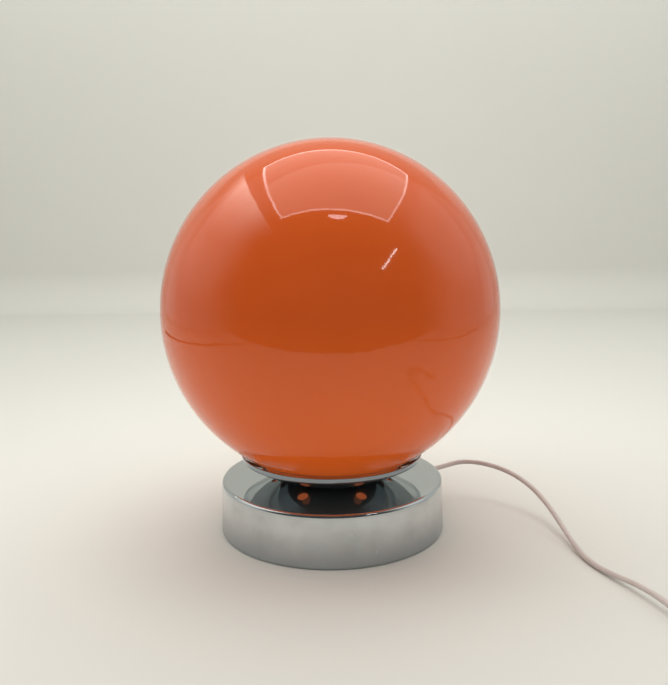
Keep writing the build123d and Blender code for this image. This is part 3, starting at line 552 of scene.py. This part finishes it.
def glowing(name):  # a surface that only sends out light
    black = (0, 0, 0, 1)
    constants = {"Base Color": black, "Specular IOR Level": 0.0, "Roughness": 1.0, "Emission Strength": 1.0}
    return Finish(name, constants)


def lightUp(finish, colour, level):
    sockets = {0: colour, "Scale": level}
    finish.feed("Emission Color", finish.make("ShaderNodeVectorMath", {"operation": "SCALE"}, sockets))


def flicker(finish, scale, share):
    return finish.noise(scale) * share


def heading(azimuth, elevation):
    turn, rise = radians(azimuth), radians(elevation)
    return Vector((sin(turn) * cos(rise), -cos(turn) * cos(rise), sin(rise)))


roomLook = {  # angles in degrees, azimuth from the front to the right
    "middle": (0.0, 0.0, 0.20),
    "radius": 1.6,
    "segments": 64,
    "cutBehind": 0.72,
    "colour": (1.0, 0.98, 0.95),
    "dark": 0.03,
    "darkAt": (0, 8),
    "side": 0.54,
    "fade": (0.05, 0.62),  # the room darkens between these closenesses to darkAt
    "flicker": (2.5, 0.04),
    "glows": [  # azimuth, elevation, core, reach, brightness
        (-98, 34, 4, 34, 0.45),
        (102, 34, 10, 30, 0.35),
    ],
}
streakLook = {
    "ends": ((36, 30), (52, 39)),
    "reach": 0.98,  # as a share of the room's radius
    "width": 0.013,
    "colour": (1.0, 0.97, 0.95),
    "level": 20.0,
    "flicker": (30.0, 0.5),
}


def roomShell(look):  # dark room behind the camera, soft lamps at both sides
    bm = bmesh.new()
    segments = look["segments"]
    bmesh.ops.create_uvsphere(bm, u_segments=segments, v_segments=segments // 2, radius=look["radius"])
    bmesh.ops.translate(bm, verts=bm.verts, vec=look["middle"])
    cutAway(bm, (0, look["cutBehind"], 0), (0, 1, 0))
    finish = glowing("roomLight")
    pair = {0: finish.spot(), 1: look["middle"]}
    away = finish.make("ShaderNodeVectorMath", {"operation": "SUBTRACT"}, pair)
    way = finish.make("ShaderNodeVectorMath", {"operation": "NORMALIZE"}, {0: away})

    def near(azimuth, elevation, start, end):  # 1 in a direction, and 0 well away from it
        pair = {0: way, 1: heading(azimuth, elevation)}
        along = finish.make("ShaderNodeVectorMath", {"operation": "DOT_PRODUCT"}, pair, output="Value")
        sockets = {"Value": along, "From Min": start, "From Max": end, "To Min": 0.0, "To Max": 1.0}
        return finish.make("ShaderNodeMapRange", {"interpolation_type": "SMOOTHSTEP"}, sockets)

    level = look["dark"] + (1 - near(*look["darkAt"], *look["fade"])) * look["side"]
    for azimuth, elevation, core, reach, bright in look["glows"]:
        level = level + near(azimuth, elevation, cos(radians(reach)), cos(radians(core))) * bright
    lightUp(finish, look["colour"], level + flicker(finish, *look["flicker"]))
    onlyMirrored(newMesh("roomShell", bm), finish)


def streakLight(look, room):
    bm = bmesh.new()
    middle, radius = Vector(room["middle"]), room["radius"] * look["reach"]
    edge = bm.edges.new([bm.verts.new(middle + heading(*end) * radius) for end in look["ends"]])
    drawOut(bm, [edge], (look["width"], 0, -look["width"]))
    finish = glowing("streakShine")
    lightUp(finish, look["colour"], look["level"] + flicker(finish, *look["flicker"]))
    onlyMirrored(newMesh("streakLight", bm, False), finish)


panelLook = {
    "middle": (0.05, 0.075, 0.905),
    "size": (0.80, 0.75),
    "cells": 24,
    "bulge": (0.05, 0.09),
    "colour": (1.0, 0.95, 0.88),
    "level": 1.9,
    "slope": (0.9, 1.25),  # brighter towards the back
    "shelf": (0.20, 0.26),  # the strip at the back that is less bright: where it starts, its slant
    "shelfEdge": (0.003, 0.012),
    "shelfFlicker": (3.0, 0.03),
    "shelfDrop": 0.3,
    "rimWidth": 0.016,
    "rimColour": (1.0, 0.95, 0.92),
    "rimLevel": 6.0,
    "rimDark": 0.55,
    "rimFlicker": (3.5, 0.9),
}
moonLook = {
    "radius": 0.065,
    "depth": 0.04,
    "middle": (0.06, -0.345, 0.905),
    "segments": 48,
    "colour": (1.0, 0.90, 0.92),
    "level": 8.5,
    "flicker": (12.0, 0.4),
}


def panelShine(look):  # the softbox over the lamp, with its brighter rim, as the glass shows it
    wide, deep = look["size"]
    bulgeX, bulgeY = look["bulge"]
    bm = bmesh.new()
    bmesh.ops.create_grid(bm, x_segments=look["cells"], y_segments=look["cells"], size=0.5)
    for vert in bm.verts:
        x, y = vert.co.x, vert.co.y
        vert.co.x = x * wide * (1 + bulgeX * (1 - 4 * y * y))
        vert.co.y = y * deep + max(y, 0) * bulgeY * (1 - 4 * x * x)
    bmesh.ops.translate(bm, verts=bm.verts, vec=look["middle"])
    rim = bmesh.ops.inset_region(
        bm, faces=bm.faces[:], thickness=look["rimWidth"], use_even_offset=True, use_boundary=True
    )
    for face in rim["faces"]:
        face.material_index = 1
    finish = glowing("panelGlow")
    x, y = finish.axis("X"), finish.axis("Y")
    front, back = look["middle"][1] - deep / 2, look["middle"][1] + deep / 2
    slope = finish.span(y, front, back, *look["slope"])
    start, slant = look["shelf"]
    wandering = y - x * slant + flicker(finish, *look["shelfFlicker"])
    shelf = finish.span(wandering, *[start + edge for edge in look["shelfEdge"]])
    lightUp(finish, look["colour"], slope * (look["level"] * (1 - shelf * look["shelfDrop"])))
    edge = glowing("rimGlow")
    uneven = look["rimDark"] + flicker(edge, *look["rimFlicker"])
    lightUp(edge, look["rimColour"], look["rimLevel"] * uneven)
    onlyMirrored(newMesh("panelShine", bm, False), finish, edge)


def moonShine(look):  # a small half disc of light in front of the softbox
    bm = bmesh.new()
    bmesh.ops.create_circle(bm, cap_ends=True, radius=look["radius"], segments=look["segments"])
    cutAway(bm, (0, 0, 0), (0, 1, 0))
    bmesh.ops.scale(bm, verts=bm.verts, vec=(1, look["depth"] / look["radius"], 1))
    bmesh.ops.translate(bm, verts=bm.verts, vec=look["middle"])
    finish = glowing("moonGlow")
    lightUp(finish, look["colour"], look["level"] + flicker(finish, *look["flicker"]))
    onlyMirrored(newMesh("moonShine", bm, False), finish)


sideLook = {
    "height": 0.905,
    "colour": (1.0, 0.94, 0.86),
    "even": 0.85,
    "flicker": (5.0, 0.3),
    "steep": 0.75,  # share of the light that fades fast, beside the rest that fades evenly
    "pair": {  # near edge front and back, where it fades out, brightness
        "left": ((-0.464, -0.50), (-0.500, 0.80), -1.15, 4.2),
        "right": ((0.760, -0.40), (0.520, 0.62), 1.70, 1.1),
    },
}


def sideShine(name, look):  # soft light beside the softbox: one sharp edge, and then it fades away
    (frontX, frontY), (backX, backY), farX, bright = look["pair"][name]
    bm = bmesh.new()
    near = [bm.verts.new((x, y, look["height"])) for x, y in ((frontX, frontY), (backX, backY))]
    drawn = bmesh.ops.extrude_edge_only(bm, edges=[bm.edges.new(near)])["geom"]
    for vert in (v for v in drawn if isinstance(v, bmesh.types.BMVert)):
        vert.co.x = farX
    finish = glowing(name + "ShineGlow")
    x, y = finish.axis("X"), finish.axis("Y")
    slant = (backX - frontX) / (backY - frontY)
    past = x - frontX - (y - frontY) * slant
    fade = finish.span(past, farX - frontX, 0.0)
    ends = finish.span(y, frontY, (frontY * 2 + backY) / 3) * finish.span(y, backY, (frontY + backY * 2) / 3)
    across = fade * fade * fade * look["steep"] + fade * (1 - look["steep"])
    finish.feed("Alpha", across * ends * ends)
    lightUp(finish, look["colour"], bright * (look["even"] + flicker(finish, *look["flicker"])))
    onlyMirrored(newMesh(name + "Shine", bm, False), finish)


edgeLook = {  # the table's own edges left and right, as thin lines in the glass
    "height": 0.001,
    "width": 0.05,
    "colour": (1.0, 0.9, 0.8),
    "flicker": (9.0, 0.25),
    "left": ((-0.776, 0.812), (-0.821, 0.575), (-0.867, 0.170), (-0.833, -0.265), (-0.741, -0.741)),
    "right": ((0.741, -0.741), (0.881, -0.338), (0.964, -0.051), (1.276, 0.434)),
}


def tableEdge(name, look):
    bm = bmesh.new()
    spots = [bm.verts.new((x, y, look["height"])) for x, y in look[name]]
    drawOut(bm, [bm.edges.new(pair) for pair in zip(spots, spots[1:])], (look["width"], 0, 0))
    finish = glowing(name + "EdgeShade")
    lightUp(finish, look["colour"], flicker(finish, *look["flicker"]))
    onlyMirrored(newMesh(name + "Edge", bm, False), finish)


paperSweep(studio)
roomShell(roomLook)
streakLight(streakLook, roomLook)
panelShine(panelLook)
moonShine(moonLook)
for name in ("left", "right"):
    sideShine(name, sideLook)
for name in ("left", "right"):
    tableEdge(name, edgeLook)
for row in studio["lamps"]:
    studioLamp(*row)
scene.world = scene.world or bpy.data.worlds.new("room")
scene.world.use_nodes = True
around = scene.world.node_tree.nodes["Background"]
around.inputs["Color"].default_value = studio["around"]
around.inputs["Strength"].default_value = 1.0
scene.view_settings.view_transform = "Standard"
print("studio lit")

bpy.context.view_layer.update()
